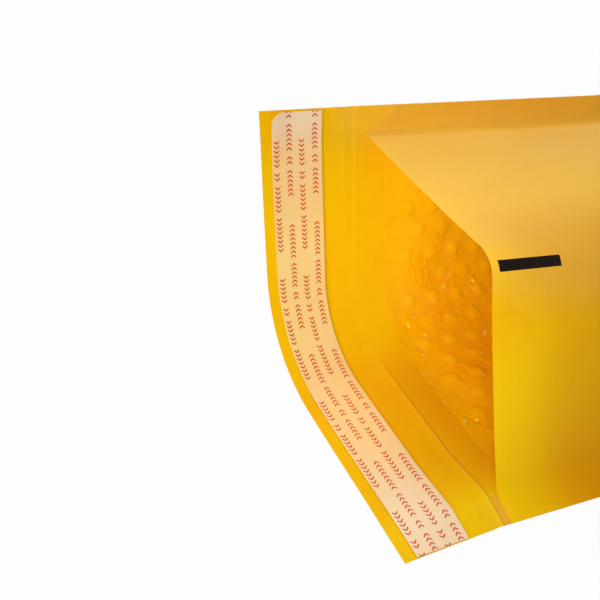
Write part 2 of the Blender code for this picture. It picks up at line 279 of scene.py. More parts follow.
def frontLine(x, q):
    # the front panel's inner face and its normal out of the pack
    lowY, lowZ, lowNormY, lowNormZ = backLine(x, np.full_like(q, lowerValley))
    highY, highZ, highNormY, highNormZ = backLine(x, np.full_like(q, upperValley))
    lowY, lowZ = lowY + pack["wall"] * lowNormY, lowZ + pack["wall"] * lowNormZ
    highY, highZ = highY + pack["wall"] * highNormY, highZ + pack["wall"] * highNormZ
    chord = np.hypot(highY - lowY, highZ - lowZ)
    bendAt = pack["width"] - pack["frontBend"] - pack["seam"]
    arc = pack["frontArc"] + (pack["frontArcDeep"] - pack["frontArc"]) * smooth(x / pack["openLength"])
    least = np.full_like(q, leastTurn)
    most = np.full_like(q, 3.0)
    for step in range(40):  # the turn that brings the panel's ends as near as the valleys are
        turn = (least + most) / 2.0
        endU, endV, heading = bentLine(panelWidth, bendAt, arc, turn)
        tooWide = np.hypot(endU, endV) > chord
        least = np.where(tooWide, turn, least)
        most = np.where(tooWide, most, turn)
    turn = (least + most) / 2.0
    endU, endV, heading = bentLine(panelWidth, bendAt, arc, turn)
    lean = np.arctan2(highZ - lowZ, highY - lowY) + np.arctan2(endV, endU)
    u, v, heading = bentLine(q - pack["seam"], bendAt, arc, turn)
    normY, normZ = -np.sin(lean - heading), np.cos(lean - heading)
    fromEnd = np.clip((x - pack["length"] + pack["endRound"]) / pack["endRound"], 0.0, 1.0)
    fromValley = np.minimum(q - lowerValley, upperValley - q)
    padding = pack["padded"] * (1.0 - opened(x)) * np.sqrt(1.0 - fromEnd ** 2)
    padding = padding * smooth(fromValley / pack["shoulder"])
    y = lowY + np.cos(lean) * u + np.sin(lean) * v + padding * normY
    z = lowZ + np.sin(lean) * u - np.cos(lean) * v + padding * normZ
    return y, z, normY, normZ


def backPoints(x, q, depth):
    y, z, normY, normZ = backLine(x, q)
    depth = depth + backRelief(x, q)
    return np.stack([x, y + depth * normY, z + depth * normZ], axis=-1)


def sharpFront(x, q, height):
    # the front panel between the valleys, and the seams' front layers beyond them
    y, z, normY, normZ = frontLine(x, q)
    seamY, seamZ, seamNormY, seamNormZ = backLine(x, q)
    height = height + frontRelief(x, q)
    inPanel = np.stack([x, y + height * normY, z + height * normZ], axis=-1)
    height = height + pack["wall"]
    inSeam = np.stack([x, seamY + height * seamNormY, seamZ + height * seamNormZ], axis=-1)
    panel = ((q > lowerValley) & (q < upperValley))[..., None]
    return np.where(panel, inPanel, inSeam)


def frontPoints(x, q, height):
    # the sheet doesn't turn sharply at a valley: it curves over a few millimetres on either side
    points = sharpFront(x, q, height)
    for valley, least in valleyCurves.items():
        # the upper valley grows softer away from the mouth
        valleyCurve = least + valleyGrowth[valley] * smooth(x / growthRun)
        near = np.abs(q - valley) < valleyCurve
        share = np.clip((q - valley) / valleyCurve, -1.0, 1.0)[..., None] * 0.5 + 0.5
        start = sharpFront(x, valley - valleyCurve, height)
        corner = sum(sharpFront(x, np.full_like(q, valley + side), height) for side in (-1e-6, 1e-6)) / 2.0
        end = sharpFront(x, valley + valleyCurve, height)
        curved = start * (1.0 - share) ** 2 + corner * 2.0 * share * (1.0 - share) + end * share ** 2
        points = np.where(near[..., None], curved, points)
    return points


# the frame's origin is the middle of the pack's outer box in plan, on the table
origin = np.array([(pack["length"] - pack["flap"]) / 2.0, pack["middle"], 0.0])


def sheetMesh(name, outer, inner, sheetPlace, attributes):
    # one closed sheet body from the two faces' grids of points, which have the same rows and columns
    rows, across = outer.shape[:2]
    points = np.concatenate([outer.reshape(-1, 3), inner.reshape(-1, 3)]) - origin
    count = rows * across
    index = np.arange(count).reshape(rows, across)
    quad = np.stack([index[:-1, :-1], index[1:, :-1], index[1:, 1:], index[:-1, 1:]], axis=-1).reshape(-1, 4)
    rim = np.concatenate([index[0, :], index[1:, -1], index[-1, -2::-1], index[-2:0:-1, 0]])
    after = np.roll(rim, -1)
    wall = np.stack([rim, after, after + count, rim + count], axis=-1)
    faces = np.concatenate([quad, quad[:, ::-1] + count, wall])
    corners = points[faces]
    volume = np.einsum("ij,ij->i", corners[:, 0], np.cross(corners[:, 1], corners[:, 2])).sum()
    volume += np.einsum("ij,ij->i", corners[:, 0], np.cross(corners[:, 2], corners[:, 3])).sum()
    if volume < 0.0:
        faces = faces[:, ::-1]
    mesh = bpy.data.meshes.new(name)
    mesh.from_pydata(points.tolist(), [], faces.tolist())
    mesh.update()
    loopVerts = np.zeros(len(mesh.loops), dtype=np.int64)
    mesh.loops.foreach_get("vertex_index", loopVerts)
    flat = np.concatenate([sheetPlace.reshape(-1, 2)] * 2)
    layer = mesh.uv_layers.new(name="sheetPlace")
    layer.data.foreach_set("uv", flat[loopVerts].ravel())
    for key, values in attributes.items():
        made = mesh.attributes.new(key, "FLOAT", "POINT")
        made.data.foreach_set("value", np.concatenate([values.ravel()] * 2))
    mesh.shade_smooth()
    mesh.set_sharp_from_angle(angle=math.radians(50.0))
    return mesh


def newPiece(name, mesh, material):
    piece = bpy.data.objects.new(name, mesh)
    bpy.context.scene.collection.objects.link(piece)
    if material.name not in [m.name for m in mesh.materials if m]:
        mesh.materials.append(material)
    return piece


# materials
# several kraft colours below also serve as painted light, shade and sheen on the sheet
kraftLook = {
    "colour": (0.93, 0.505, 0.001), "deep": (0.80, 0.350, 0.001), "pale": (0.97, 0.60, 0.002),
    "deepest": (0.72, 0.30, 0.001), "worn": (1.0, 0.72, 0.02), "speck": (0.62, 0.27, 0.02),
    "print": (0.006, 0.004, 0.003), "pressed": (0.88, 0.445, 0.030), "dusty": (0.93, 0.53, 0.100),
    "tan": (0.85, 0.42, 0.070), "shade": (0.78, 0.365, 0.035), "roughness": 0.46, "reliefDepth": 0.00006,
    "barFrom": (0.0044, 0.0897), "barSize": (0.0242, 0.0036), "barTilt": -0.070,
    "rippleLength": 0.00135, "rippleDepth": 0.30,
    "tanGrowth": 0.0046, "tanSoftness": (0.0004, 0.0030), "tanShare": 0.55, "dustyShare": 0.55,
    "wornShare": 0.6, "pressedShare": 0.85, "faintShare": 0.16,
}
# painted light and shade: soft-edged fields on the flat sheet, in metres along from the fold and across from
# the lower edge
paintedLightFields = {
    "deep": [
        {"layer": "back", "share": 0.42, "across": [(0.018, 0.040), (0.090, 0.060)],
         "along": [(-0.030, -0.012)]},
        {"layer": "back", "share": 0.28, "across": [(0.030, 0.050), (0.120, 0.085)],
         "along": [(0.0, 0.002)]},
    ],
    "deepest": [
        {"layer": "front", "share": 0.36, "across": [(0.110, 0.086)], "along": [(0.002, 0.048)]},
        {"layer": "front", "share": 0.30, "across": [(0.110, 0.086)], "along": [(0.030, 0.090)]},
        {"layer": "front", "share": 0.56, "across": [(0.110, 0.086), (0.050, 0.0)],
         "along": [(0.004, 0.042)]},
    ],
    "pale": [
        {"layer": "back", "share": 0.65, "across": [(0.070, 0.100), (0.200, 0.150)]},
        {"layer": "back", "share": 0.70, "across": [(0.022, 0.010)]},
        {"layer": "front", "share": 0.90, "across": [(0.078, 0.045)], "along": [(0.034, 0.002)]},
    ],
    # painted sheen at the back's upper corner beside the fold
    "dusty": [
        {"layer": "back", "share": 0.26, "across": [(0.160, 0.184)], "along": [(-0.014, -0.003)]},
    ],
    "shade": [
        {"layer": "front", "share": 0.50, "across": [(0.066, 0.088), (0.122, 0.098)],
         "along": [(0.004, 0.022)]},
    ],
}


def kraftPaper():
    s = Shading("golden kraft paper")
    place = s.place()
    along, across = s.sheetPlaces()
    layer = s.part("frontLayer")
    front, back = layer.above(0.5), layer.below(0.5)
    places = {"front": front, "back": back, "across": across, "along": along}
    # long fibres, short fibres and the cloudy look-through of the sheet
    fibres = s.noise(place, 900.0, 4.0, 0.6, (0.35, 1.0, 1.0))
    specks = s.noise(place, 2600.0, 2.0, 0.5)
    clouds = s.noise(place, 28.0, 3.0, 0.6)
    cloudy = s.mix(s.spread(clouds, 0.35, 0.68), kraftLook["deep"], kraftLook["pale"])
    colour = s.mix(0.80, cloudy, kraftLook["colour"])
    mottles = s.noise(place, 130.0, 4.0, 0.6)
    colour = s.mix(s.spread(mottles, 0.50, 0.72) * 0.16, colour, kraftLook["deepest"])
    # painted shade and light: darker low on the back and low on the front away from the mouth, paler high on
    # the back, at its lower edge and on the front by the mouth
    for tone in ("deep", "deepest", "pale"):
        colour = s.mix(s.fields(paintedLightFields[tone], places), colour, kraftLook[tone])
    # painted shade: the upper seam is a darker tan, with an edge that grows wider and softer away from the
    # mouth
    beyond = across - upperValley + s.spread(along, 0.004, 0.095, 0.0, kraftLook["tanGrowth"])
    softness = s.spread(along, 0.0, 0.080, *kraftLook["tanSoftness"])
    tan = s.spread(beyond / softness, -1.0, 1.0) * front
    # painted reflection and shade: the upper half's outside is paler and bluer as a painted sheen, and its
    # bend is darker as painted shade
    dusty = s.spread(across + along * 0.25, 0.073, 0.105) * (1.0 - tan) * front * kraftLook["dustyShare"]
    colour = s.mix(dusty + s.fields(paintedLightFields["dusty"], places), colour, kraftLook["dusty"])
    colour = s.mix(s.fields(paintedLightFields["shade"], places), colour, kraftLook["shade"])
    colour = s.mix(s.spread(fibres, 0.55, 0.75) * 0.22, colour, kraftLook["deep"])
    colour = s.mix(s.spread(specks, 0.66, 0.76) * 0.25, colour, kraftLook["speck"])
    # painted shade on the upper seam
    colour = s.mix(tan * kraftLook["tanShare"], colour, kraftLook["tan"])
    # dull fields beside the front layer's lower edge, where the seam's layers were pressed together
    pressed = across.below(0.0103) * along.above(0.0005) * along.below(0.008) * kraftLook["pressedShare"]
    faint = across.below(0.0096) * along.above(-0.0062) * along.below(0.0005) * kraftLook["faintShare"]
    colour = s.mix((pressed + faint) * back, colour, kraftLook["pressed"])
    # a painted highlight: a pale line on the flap's side of the fold's crest, fainter toward both ends
    worn = s.spread(along, -0.0011, -0.0005) * s.spread(along, 0.0003, -0.0002) * back
    worn = worn * s.spread(across, 0.050, 0.115, 1.0, 0.15) * s.spread(across, 0.006, 0.026, 1.0, 0.55)
    colour = s.mix(worn * kraftLook["wornShare"], colour, kraftLook["worn"])
    # the printed bar on the front panel, slightly out of square
    barLength, barWidth = kraftLook["barSize"]
    barU = along - kraftLook["barFrom"][0]
    barV = across - kraftLook["barFrom"][1] - barU * kraftLook["barTilt"]
    bar = barV.maths("ABSOLUTE").below(barWidth / 2.0) * barU.above(0.0) * barU.below(barLength) * front
    colour = s.mix(bar * s.spread(specks, 0.25, 0.45, 0.93, 1.0), colour, kraftLook["print"])
    rough = s.spread(clouds, 0.3, 0.7, kraftLook["roughness"] - 0.05, kraftLook["roughness"] + 0.07)
    # fine ripples beside the fold's upper end
    ripples = (along * (2.0 * math.pi / kraftLook["rippleLength"]) + clouds * 3.0).maths("SINE")
    ripples = ripples * s.spread(along, -0.0075, -0.0045) * s.spread(along, 0.0010, -0.0005)
    ripples = ripples * s.spread(across, 0.120, 0.178, 0.0, kraftLook["rippleDepth"])
    height = fibres * 0.5 + specks * 0.25 + clouds * 3.0 + mottles * 1.5 + ripples
    s.set(baseColor=colour, roughness=rough, specularIORLevel=0.04, sheenWeight=0.60, sheenRoughness=0.28,
          normal=s.bump(height, kraftLook["reliefDepth"]))
    return s.material


filmLook = {
    "lip": (0.95, 0.55, 0.001), "colour": (0.94, 0.53, 0.001), "deep": (0.91, 0.48, 0.001),
    "low": (0.88, 0.37, 0.001), "ring": (0.84, 0.36, 0.001), "middle": (0.97, 0.58, 0.001),
    "glint": (1.0, 0.84, 0.24), "glintScale": 500.0, "smooth": 0.50, "crumpled": 0.14,
    "dentScale": 300.0, "lineScale": 210.0, "dentDepth": 0.0006, "warp": 0.005, "warpScale": 190.0,
}


def bubbleFilm():
    s = Shading("clear film over golden paper")
    place = s.place()
    clouds = s.noise(place, 60.0, 3.0, 0.6)
    creases = s.noise(place, 300.0, 3.0, 0.65)
    # sharp dents of crumpled film, in patches, mostly low in the mouth
    warp = s.node("ShaderNodeTexNoise", None,
                  {"Vector": place, "Scale": filmLook["warpScale"], "Detail": 2.0}, "Color")
    bent = s.node("ShaderNodeVectorMath", {"operation": "MULTIPLY_ADD"},
                  {0: warp, 1: (filmLook["warp"],) * 3, 2: place})

    def cells(scale, output, feature="F1"):
        return s.node("ShaderNodeTexVoronoi", {"feature": feature}, {"Vector": bent, "Scale": scale}, output)

    dents = cells(filmLook["dentScale"], "Distance")
    lines = s.spread(cells(filmLook["lineScale"], "Distance", "DISTANCE_TO_EDGE"), 0.16, 0.0)
    axes = s.node("ShaderNodeSeparateXYZ", None, {"Vector": place})
    high = Value(s, axes.socket.node.outputs["Z"])
    patches = s.spread(s.noise(place, 55.0, 2.0, 0.5), 0.40, 0.60) * s.spread(high, 0.060, 0.030, 0.12, 1.0)
    # 0 at a bubble's middle, 1 at its rim, and 0 on the flat film
    away = s.part("fromMiddle")
    onDome = away.above(0.001)
    ring = s.spread(away, 0.45, 0.85) * s.spread(away, 1.0, 0.88)
    colour = s.mix(s.spread(clouds, 0.35, 0.68), filmLook["deep"], filmLook["colour"])
    inward = s.spread(axes, -0.122, -0.098)
    colour = s.mix(inward, filmLook["lip"], colour)
    # painted shade: the film is darker and more orange low in the mouth
    low = s.spread(high, 0.060, 0.012) * inward * 0.55 + s.spread(high, 0.026, 0.006) * 0.40
    colour = s.mix(low, colour, filmLook["low"])
    # painted highlight and shade: each bubble's middle is paler and its rim darker, standing in for the clear
    # domes' glints and refraction
    colour = s.mix(onDome * s.spread(away, 0.70, 0.30) * 0.35, colour, filmLook["middle"])
    colour = s.mix(ring * 0.34, colour, filmLook["ring"])
    # painted shade along the dents of the crumpled film
    colour = s.mix(s.spread(dents, 0.35, 0.70) * patches * 0.30, colour, filmLook["ring"])
    # a few small pale glints where it is crumpled
    chosen = s.spread(cells(filmLook["glintScale"], "Color"), 0.81, 0.86)
    glints = chosen * s.spread(cells(filmLook["glintScale"], "Distance"), 0.50, 0.20) * patches
    colour = s.mix(glints * 0.9, colour, filmLook["glint"])
    rough = s.spread(patches, 0.2, 0.8, filmLook["smooth"], filmLook["crumpled"])
    height = (dents * 0.30 + creases * 0.28 + lines * 0.13) * patches + clouds * 0.4
    s.set(baseColor=colour, roughness=rough, specularIORLevel=0.25,
          normal=s.bump(height, filmLook["dentDepth"]))
    return s.material


glueLook = {"colour": (0.78, 0.56, 0.22), "pale": (0.86, 0.68, 0.34), "blobScale": 420.0, "blobDepth": 0.0002}


def hotMeltGlue():
    s = Shading("hot-melt glue")
    blobs = s.noise(s.place(), glueLook["blobScale"], 3.0, 0.6)
    colour = s.mix(s.spread(blobs, 0.3, 0.7), glueLook["colour"], glueLook["pale"])
    s.set(baseColor=colour, roughness=s.spread(blobs, 0.3, 0.7, 0.25, 0.42),
          normal=s.bump(blobs, glueLook["blobDepth"]))
    return s.material


linerLook = {
    "colour": (0.95, 0.635, 0.225), "bright": (0.98, 0.74, 0.27), "ends": (0.93, 0.715, 0.47),
    "ink": (0.66, 0.040, 0.022), "reliefDepth": 0.00006,
    "rows": (0.0018, 0.0068, 0.0117, 0.0169), "mark": 0.0021, "markStep": 0.001668, "markSlope": 0.52,
    "tipAt": 0.68, "stroke": 0.40, "period": 0.052, "filled": 0.0417, "spaces": (6.0, 9.0, 16.0),
    "marks": 25, "firstStart": 0.0105, "secondStart": 0.0415,
}


def releasePaper():
    s = Shading("release paper with red marks")
    place = s.place()
    along, across = s.sheetPlaces()
    clouds = s.noise(place, 40.0, 2.0, 0.5)
    grain = s.noise(place, 1800.0, 2.0, 0.5)
    colour = s.mix(s.spread(clouds, 0.3, 0.7) * 0.25, linerLook["colour"], linerLook["ends"])
    # the liner is paler toward both ends and brighter across its middle; at the lifted upper end the paleness
    # is painted light
    pale = s.spread(along, 0.125, 0.180) * 0.8 + s.spread(along, 0.018, 0.002) * 0.85
    colour = s.mix(pale, colour, linerLook["ends"])
    bright = s.spread(along, 0.030, 0.055) * s.spread(along, 0.105, 0.085)
    colour = s.mix(bright * 0.8, colour, linerLook["bright"])
    ink = None
    for i, middle in enumerate(linerLook["rows"]):
        # arrowheads in groups of six, two, six and eight, turned about in every other row
        start = linerLook["firstStart"] if i % 2 == 0 else linerLook["secondStart"]
        side = (across - middle).maths("ABSOLUTE")
        travel = (along - start).maths("FLOORED_MODULO", linerLook["period"])
        if i % 2:
            travel = linerLook["filled"] - travel
        step = travel / linerLook["markStep"]
        cell = step.maths("FLOOR")
        tip = step.maths("FRACT") + side * (linerLook["markSlope"] / linerLook["mark"] * 2.0)
        stroke = (tip - linerLook["tipAt"]).maths("ABSOLUTE").below(linerLook["stroke"] / 2.0)
        filled = cell.above(-0.5) * cell.below(linerLook["marks"] - 0.5)
        row = side.below(linerLook["mark"] / 2.0) * stroke * filled
        for space in linerLook["spaces"]:
            row = row * (cell - space).maths("ABSOLUTE").above(0.5)
        ink = row if ink is None else ink + row
    colour = s.mix(ink * s.spread(grain, 0.3, 0.5, 0.82, 1.0), colour, linerLook["ink"])
    s.set(baseColor=colour, roughness=s.spread(grain, 0.3, 0.7, 0.34, 0.44), specularIORLevel=0.45,
          normal=s.bump(grain * 0.2 + clouds, linerLook["reliefDepth"]))
    return s.material


# the kraft sheet
# one sheet: flap and back panel, folded over at the closed end, then the front panel
sheet = {
    "thickness": 0.0003, "acrossStep": 0.0024, "alongStep": 0.0026, "nearFold": 0.0005, "fineReach": 0.006,
    "besideValley": (0.0022, 0.0034, 0.0046, 0.0058), "evenReach": 0.0065, "valleyReach": 0.0070,
    "bendGap": 0.001, "leastGap": 0.0004, "rimThickness": 0.00002,
    "edgeThin": 0.55, "edgeThinSeam": 0.35, "edgeRun": 0.0025, "bowRun": 0.030,
    "capAngles": (30.0, 60.0, 90.0, 120.0, 150.0),
}


def acrossPlaces():
    # places across the sheet, closer together at the valleys and at the front panel's bend
    bend = pack["width"] - pack["frontBend"]
    near = [bend + pack["frontArc"] * (i / 12.0 - 0.5) for i in range(13)]
    lowReach, highReach = valleyCurves[lowerValley], valleyCurves[upperValley]
    even = np.linspace(lowerValley, upperValley, round(panelWidth / sheet["acrossStep"]) + 1)
    even = [q for q in even if lowerValley + lowReach < q < upperValley - sheet["evenReach"]]
    even = [q for q in even if q < near[0] - sheet["bendGap"] or q > near[-1] + sheet["bendGap"]]
    wider = [upperValley + side * step for side in (-1.0, 1.0) for step in sheet["besideValley"]]
    steps = np.linspace(-1.0, 1.0, 9)
    bends = [*(lowerValley + lowReach * steps), *(upperValley + highReach * steps)]
    seams = list(np.linspace(0.0, lowerValley - lowReach, 5))[:-1]
    seams += list(np.linspace(upperValley + sheet["valleyReach"], pack["width"], 3))
    return np.array(sorted(even + near + seams + bends + wider))


def alongPlaces(start, end):
    reach, gap = sheet["fineReach"], sheet["leastGap"]
    coarse = list(np.linspace(-pack["flap"], -reach, 14))[:-1]
    coarse += list(np.arange(reach, pack["length"] - gap, sheet["alongStep"]))
    fine = list(np.arange(-reach, reach, sheet["nearFold"]))
    return np.array([start, *(x for x in sorted(coarse + fine) if start + gap < x < end - gap), end])


def kraftSheet():
    across = acrossPlaces()
    foldLine = pack["length"] - sheet["thickness"]
    back = alongPlaces(-pack["flap"], foldLine)
    front = alongPlaces(pack["mouthSetback"], foldLine)
    q = across[None, :]
    backX, backQ = np.broadcast_arrays(back[:, None], q)
    # the front layer's edge bows back, and its upper corner is tucked
    share = np.clip((q - lowerValley) / panelWidth, 0.0, 1.0)
    tuck = pack["cornerTuck"] * np.maximum(q - upperValley, 0.0) / pack["seam"]
    fromEdge = front[:, None] - pack["mouthSetback"]
    fade = np.clip(1.0 - fromEdge / sheet["bowRun"], 0.0, 1.0)
    frontX = front[:, None] + (tuck - pack["mouthBow"] * np.sin(np.pi * share)) * fade
    frontQ = np.broadcast_to(q, frontX.shape)
    capAngles = np.radians(sheet["capAngles"])[:, None]
    capQ = np.broadcast_to(q, (len(capAngles), len(across)))

    def cap(radius):
        x = np.broadcast_to(foldLine + radius * np.sin(capAngles), capQ.shape)
        y, z, normY, normZ = backLine(x, capQ)
        depth = pack["wall"] - radius * np.cos(capAngles)
        return np.stack([x, y + depth * normY, z + depth * normZ], axis=-1)

    # in the seams the front layer's edge is pressed thin
    inSeam = smooth(np.maximum(lowerValley - frontQ, frontQ - upperValley) / 0.003)
    lost = (sheet["edgeThin"] + sheet["edgeThinSeam"] * inSeam) * (1.0 - smooth(fromEdge / sheet["edgeRun"]))
    frontOuter = frontPoints(frontX, frontQ, sheet["thickness"] * (1.0 - lost))[::-1]
    frontInner = frontPoints(frontX, frontQ, 0.0)[::-1]
    backOuter = backPoints(backX, backQ, pack["wall"] - sheet["thickness"])
    backInner = backPoints(backX, backQ, pack["wall"])
    outer = np.concatenate([backOuter, cap(sheet["thickness"]), frontOuter])
    inner = np.concatenate([backInner, cap(sheet["rimThickness"]), frontInner])
    placeX = np.concatenate([backX, np.full(capQ.shape, pack["length"]), frontX[::-1]])
    placeQ = np.concatenate([backQ, capQ, frontQ[::-1]])
    layer = np.concatenate([np.zeros(backX.shape), np.full(capQ.shape, 0.5), np.ones(frontX.shape)])
    # the sheet's lower half lies on the table
    outer[..., 2] = np.maximum(outer[..., 2], 0.0)
    inner[..., 2] = np.maximum(inner[..., 2], sheet["thickness"] / 2.0)
    place = np.stack([placeX, placeQ], axis=-1)
    return sheetMesh("kraftSheet", outer, inner, place, {"frontLayer": layer})


kraft = newPiece("kraftSheet", kraftSheet(), kraftPaper())
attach(kraft, "root")
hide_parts("kraft_envelope")
print("kraft sheet made,", len(kraft.data.polygons), "faces")

# the bubble film lining
lining = {
    "start": 0.0125, "end": 0.2935, "gap": 0.0003, "thickness": 0.0019, "lip": 0.024, "lipThickness": 0.00003,
    "margin": 0.0012, "pitch": 0.011, "bubbleRadius": 0.0049, "bubbleHeight": 0.00032, "bubbledTo": 0.160,
    "rowStep": 0.0096, "firstBubble": (0.0327, 0.1231), "bubbleMargin": 0.008, "domeWidth": 0.97,
    "domeSteep": 2.3, "domeRound": 1.8, "unevenness": 0.10, "seed": 7, "alongStep": 0.0032,
    "rise": 0.00002, "overlap": 0.00004, "leastSlope": 0.3, "mostReach": 0.44, "bubblesFrom": 0.006,
}


def panelFaces(x, q):
    # both panels' inner faces, the back's with its relief
    backY, backZ, backNormY, backNormZ = backLine(x, q)
    rise = pack["wall"] + backRelief(x, q)
    backFace = np.stack([backY + rise * backNormY, backZ + rise * backNormZ], axis=-1)
    frontY, frontZ, frontNormY, frontNormZ = frontLine(x, q)
    drop = np.minimum(frontRelief(x, q), 0.0)
    frontFace = np.stack([frontY + drop * frontNormY, frontZ + drop * frontNormZ], axis=-1)
    backNorm = np.stack([backNormY, backNormZ], axis=-1)
    frontNorm = np.stack([frontNormY, frontNormZ], axis=-1)
    return backFace, backNorm, frontFace, frontNorm


def filmPoints(x, q, onFront, gap):
    # gap inward of a panel, along the line between the two, never past the middle
    backFace, backNorm, frontFace, frontNorm = panelFaces(x, q)
    between = frontFace - backFace
    distance = np.maximum(np.linalg.norm(between, axis=-1, keepdims=True), 1e-6)
    across = between / distance
    norm = frontNorm if onFront else backNorm
    slope = np.maximum((across * norm).sum(axis=-1, keepdims=True), lining["leastSlope"])
    reach = np.minimum(gap[..., None] / slope, lining["mostReach"] * distance)
    place = frontFace - across * reach if onFront else backFace + across * reach
    return np.concatenate([x[..., None], place], axis=-1)


def filmGrid():
    across = acrossPlaces()
    across = across[(across > lowerValley + lining["margin"]) & (across < upperValley - lining["margin"])]
    lip = lining["start"] + lining["lip"] * np.linspace(0.0, 1.0, 10)
    deep = np.arange(lip[-1] + 0.002, lining["end"], lining["alongStep"])
    along = np.concatenate([lip, deep, [lining["end"]]])
    return np.broadcast_arrays(along[:, None], across[None, :])


def filmThickness(x):
    rising = smooth((x - lining["start"]) / lining["lip"])
    return lining["lipThickness"] + (lining["thickness"] - lining["lipThickness"]) * rising


def filmGap(x):
    # the film lies on the paper at its lip
    return lining["rise"] + lining["gap"] * smooth((x - lining["start"]) / lining["lip"])


def liningMesh(onFront):
    x, q = filmGrid()
    outer = filmPoints(x, q, onFront, filmGap(x))
    inner = filmPoints(x, q, onFront, filmGap(x) + filmThickness(x))
    return sheetMesh("film", outer, inner, np.stack([x, q], axis=-1), {})


def bubblePlaces():
    # staggered rows along the pack, on the lining laid out flat: x, q and no height
    places = []
    for row in range(-12, 8):
        q = lining["firstBubble"][1] + row * lining["rowStep"]
        for i in range(-3, 14):
            x = lining["firstBubble"][0] + (i + (row % 2) / 2.0) * lining["pitch"]
            inside = lowerValley + lining["bubbleMargin"] < q < upperValley - lining["bubbleMargin"]
            if inside and lining["start"] + lining["bubblesFrom"] < x < lining["bubbledTo"]:
                places.append((x, q, 0.0))
    return places


def bubbleTree(material):
    # domes on the given points, a little uneven
    tree = bpy.data.node_groups.new("bubbleField", "GeometryNodeTree")
    inputs = {
        "Geometry": "Geometry", "Radius": "Float", "Height": "Float", "Unevenness": "Float", "Seed": "Int",
    }
    for label, kind in inputs.items():
        tree.interface.new_socket(label, in_out="INPUT", socket_type="NodeSocket" + kind)
    tree.interface.new_socket("Geometry", in_out="OUTPUT", socket_type="NodeSocketGeometry")

    def add(kind, settings=None, inputs=None):
        node = tree.nodes.new(kind)
        for key, setting in (settings or {}).items():
            setattr(node, key, setting)
        for key, given in (inputs or {}).items():
            if isinstance(given, bpy.types.NodeSocket):
                tree.links.new(given, node.inputs[key])
            else:
                node.inputs[key].default_value = given
        return node

    given = add("NodeGroupInput").outputs
    cone = add("GeometryNodeMeshCone", {"fill_type": "NONE"},
               {"Vertices": 14, "Side Segments": 5, "Radius Top": 0.0, "Radius Bottom": 1.0, "Depth": 1.0})
    position = add("GeometryNodeInputPosition").outputs["Position"]
    parts = add("ShaderNodeSeparateXYZ", None, {"Vector": position}).outputs
    flat = add("ShaderNodeCombineXYZ", None, {"X": parts["X"], "Y": parts["Y"]}).outputs["Vector"]
    away = add("ShaderNodeVectorMath", {"operation": "LENGTH"}, {0: flat}).outputs["Value"]
    steep = add("ShaderNodeMath", {"operation": "POWER"}, {0: away, 1: lining["domeSteep"]}).outputs[0]
    left = add("ShaderNodeMath", {"operation": "SUBTRACT", "use_clamp": True}, {0: 1.0, 1: steep}).outputs[0]
    profile = add("ShaderNodeMath", {"operation": "POWER"}, {0: left, 1: lining["domeRound"]}).outputs[0]
    rise = add("ShaderNodeMath", {"operation": "MULTIPLY"}, {0: profile, 1: given["Height"]}).outputs[0]
    # each dome remembers how far its points are from its middle
    dome = add("GeometryNodeStoreNamedAttribute", {"data_type": "FLOAT", "domain": "POINT"},
               {"Geometry": cone.outputs["Mesh"], "Name": "fromMiddle", "Value": away}).outputs[0]
    wide = add("ShaderNodeVectorMath", {"operation": "SCALE"}, {0: flat, "Scale": given["Radius"]}).outputs[0]
    wideParts = add("ShaderNodeSeparateXYZ", None, {"Vector": wide}).outputs
    domed = add("ShaderNodeCombineXYZ", None,
                {"X": wideParts["X"], "Y": wideParts["Y"], "Z": rise}).outputs["Vector"]
    dome = add("GeometryNodeSetPosition", None, {"Geometry": dome, "Position": domed}).outputs[0]
    dome = add("GeometryNodeSetShadeSmooth", None, {"Geometry": dome}).outputs[0]
    low = add("ShaderNodeMath", {"operation": "SUBTRACT"}, {0: 1.0, 1: given["Unevenness"]}).outputs[0]
    size = add("FunctionNodeRandomValue", {"data_type": "FLOAT"},
               {2: low, 3: 1.0, "Seed": given["Seed"]}).outputs[1]
    placed = add("GeometryNodeInstanceOnPoints", None,
                 {"Points": given["Geometry"], "Instance": dome, "Scale": size}).outputs[0]
    real = add("GeometryNodeRealizeInstances", None, {"Geometry": placed}).outputs[0]
    finished = add("GeometryNodeSetMaterial", None, {"Geometry": real, "Material": material}).outputs[0]
    add("NodeGroupOutput", None, {"Geometry": finished})
    return tree


film = bubbleFilm()
bubbles = bubbleTree(film)
for onFront, label in ((False, "backLining"), (True, "frontLining")):
    points = bubblePlaces()
    dots = bpy.data.meshes.new(label + "Dots")
    dots.from_pydata(points, [], [])
    seeds = newPiece(label + "Dots", dots, film)
    modifier = seeds.modifiers.new("bubbles", "NODES")
    modifier.node_group = bubbles
    wanted = {
        "Radius": lining["bubbleRadius"] * lining["domeWidth"], "Height": lining["bubbleHeight"],
        "Unevenness": lining["unevenness"], "Seed": lining["seed"] + onFront,
    }
    for item in bubbles.interface.items_tree:
        if item.item_type == "SOCKET" and item.name in wanted:
            modifier[item.identifier] = wanted[item.name]
    bpy.context.view_layer.update()
    evaluated = seeds.evaluated_get(bpy.context.evaluated_depsgraph_get())
    domes = bpy.data.meshes.new_from_object(evaluated)
    places = np.zeros(len(domes.vertices) * 3)
    domes.vertices.foreach_get("co", places)
    x, q, height = places.reshape(-1, 3).T
    above = filmGap(x) + filmThickness(x) - lining["overlap"] + height
    bentPlaces = filmPoints(x, q, onFront, above) - origin
    domes.vertices.foreach_set("co", bentPlaces.ravel())
    if onFront:  # the height runs the other way there
        domes.flip_normals()
    domes.update()
    print(label, "bubbles:", len(points), "places,", len(domes.polygons), "faces")
    domePiece = newPiece(label + "Bubbles", domes, film)
    bpy.data.objects.remove(seeds)
    piece = newPiece(label, liningMesh(onFront), film)
    for made in (piece, domePiece):
        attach(made, "root")
        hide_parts("bubble_lining")

